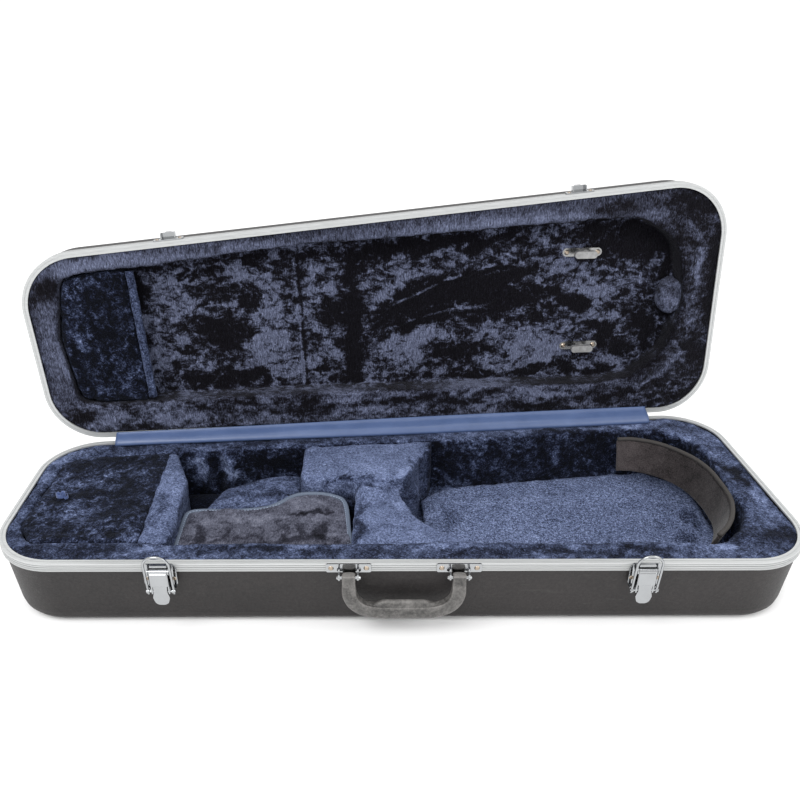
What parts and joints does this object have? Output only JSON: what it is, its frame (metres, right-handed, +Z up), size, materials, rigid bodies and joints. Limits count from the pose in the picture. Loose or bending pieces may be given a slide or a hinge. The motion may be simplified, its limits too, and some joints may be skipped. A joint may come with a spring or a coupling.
{
  "type": "violin case",
  "caption": "Tapered oblong hard case for a violin with a hinged lid, metal rim, plush fitted interior, draw latches and a carrying handle.",
  "frame": {"origin": "centre of the flat underside of the tray, on the floor", "axes": "+X along the straight front edge towards the wide end, +Y from the front to the hinged back, +Z up"},
  "size_m": [0.8166, 0.3686, 0.3683],
  "materials": {
    "abs_shell": "fine grained moulded ABS",
    "valance_alu": "satin anodised with fine grooves",
    "plush": "crushed slate blue velvet plush",
    "chrome": "nickel plated, lightly worn",
    "steel_rivet": "plated rivet with a warm tone",
    "handle_rubber": "moulded, worn pale at its edges",
    "vinyl": "smooth blue vinyl with a soft sheen",
    "strip_felt": "dark brown-grey brushed cloth",
    "flap_plush": "dark grey plush bound with slate tape",
    "paddle_plastic": "satin pale grey",
    "holder_plate": "dark bright plate"
  },
  "bodies": {
    "tray": {"body_cavity_pad": "plush", "bout_strip": "strip_felt", "bout_strip_piping": "strip_felt", "compartment_divider": "plush", "front_compartment_wall": "plush", "handle_bracket_left": "chrome", "handle_bracket_right": "chrome", "handle_bracket_rivets": "steel_rivet", "handle_pins": "chrome", "hinge_cover": "vinyl", "hinge_lower_leaf_middle": "chrome", "hinge_lower_leaf_narrow_end": "chrome", "hinge_lower_leaf_wide_end": "chrome", "hinge_pins": "chrome", "hinge_rivets_tray": "steel_rivet", "latch_base_left": "chrome", "latch_base_right": "chrome", "latch_hinge_pin_left": "chrome", "latch_hinge_pin_right": "chrome", "latch_rivets": "steel_rivet", "neck_block": "plush", "scroll_rest": "plush", "scroll_well_pad": "plush", "tray_liner": "plush", "tray_shell": "abs_shell", "tray_valance": "valance_alu"},
    "lid": {"bow_holder_lower": "holder_plate", "bow_holder_rivets": "steel_rivet", "bow_holder_upper": "holder_plate", "bow_tip_pocket": "plush", "catch_rivets": "steel_rivet", "hinge_rivets_lid": "steel_rivet", "hinge_upper_leaf_middle": "chrome", "hinge_upper_leaf_narrow_end": "chrome", "hinge_upper_leaf_wide_end": "chrome", "lid_catch_left": "chrome", "lid_catch_right": "chrome", "lid_end_pad": "plush", "lid_liner": "plush", "lid_shell": "abs_shell", "lid_valance": "valance_alu"},
    "handle": {"handle_grip": "handle_rubber"},
    "accessory_lid": {"accessory_lid": "plush", "accessory_lid_tab": "plush"},
    "front_flap": {"front_flap": "flap_plush"},
    "bow_paddle_upper": {"bow_paddle_upper": "paddle_plastic"},
    "bow_paddle_lower": {"bow_paddle_lower": "paddle_plastic"},
    "latch_lever_left": {"latch_lever_left": "chrome"},
    "latch_link_left": {"latch_link_pin_left": "chrome"},
    "latch_bail_left": {"latch_bail_left": "chrome"},
    "latch_lever_right": {"latch_lever_right": "chrome"},
    "latch_link_right": {"latch_link_pin_right": "chrome"},
    "latch_bail_right": {"latch_bail_right": "chrome"}
  },
  "joints": [
    {"name": "lid_hinge", "type": "hinge", "parent": "tray", "child": "lid", "pos_m": [-0.00453, 0.12974, 0.08], "axis": [-0.9954, -0.0963, 0], "range_deg": [-93.5, 0], "deforming": ["hinge_cover"]},
    {"name": "handle_swing", "type": "hinge", "parent": "tray", "child": "handle", "pos_m": [0.0023, -0.1342, 0.069], "axis": [-1, 0, 0], "range_deg": [0, 105]},
    {"name": "accessory_lid_lift", "type": "hinge", "parent": "tray", "child": "accessory_lid", "pos_m": [-0.2625, -0.008, 0.0751], "axis": [-0.0532, 0.9986, 0], "range_deg": [0, 95]},
    {"name": "front_flap_lift", "type": "hinge", "parent": "tray", "child": "front_flap", "pos_m": [-0.138, -0.082, 0.0605], "axis": [1, 0, 0], "range_deg": [0, 95]},
    {"name": "bow_paddle_turn_upper", "type": "hinge", "parent": "lid", "child": "bow_paddle_upper", "pos_m": [0.21928, 0.18402, 0.2834], "axis": [0.0961, -0.9935, 0.061], "continuous": true},
    {"name": "bow_paddle_turn_lower", "type": "hinge", "parent": "lid", "child": "bow_paddle_lower", "pos_m": [0.22694, 0.17755, 0.16612], "axis": [0.0961, -0.9935, 0.061], "continuous": true},
    {"name": "latch_lever_lift_left", "type": "hinge", "parent": "tray", "child": "latch_lever_left", "pos_m": [-0.2252, -0.132, 0.0744], "axis": [-1, 0, 0], "range_deg": [0, 120]},
    {"name": "latch_link_turn_left", "type": "hinge", "parent": "latch_lever_left", "child": "latch_link_left", "pos_m": [-0.2252, -0.1322, 0.0516], "axis": [-1, 0, 0], "range_deg": [-121, 1]},
    {"name": "latch_bail_swing_left", "type": "hinge", "parent": "latch_link_left", "child": "latch_bail_left", "pos_m": [-0.2252, -0.1322, 0.0516], "axis": [1, 0, 0], "range_deg": [-7.2, 150]},
    {"name": "latch_lever_lift_right", "type": "hinge", "parent": "tray", "child": "latch_lever_right", "pos_m": [0.2304, -0.132, 0.0744], "axis": [-1, 0, 0], "range_deg": [0, 120]},
    {"name": "latch_link_turn_right", "type": "hinge", "parent": "latch_lever_right", "child": "latch_link_right", "pos_m": [0.2304, -0.1322, 0.0516], "axis": [-1, 0, 0], "range_deg": [-121, 1]},
    {"name": "latch_bail_swing_right", "type": "hinge", "parent": "latch_link_right", "child": "latch_bail_right", "pos_m": [0.2304, -0.1322, 0.0516], "axis": [1, 0, 0], "range_deg": [-7.2, 150]}
  ],
  "couplings": [
    {"joint": "latch_link_turn_left", "follows": "latch_lever_lift_left", "ratio": -1},
    {"joint": "latch_link_turn_right", "follows": "latch_lever_lift_right", "ratio": -1}
  ]
}
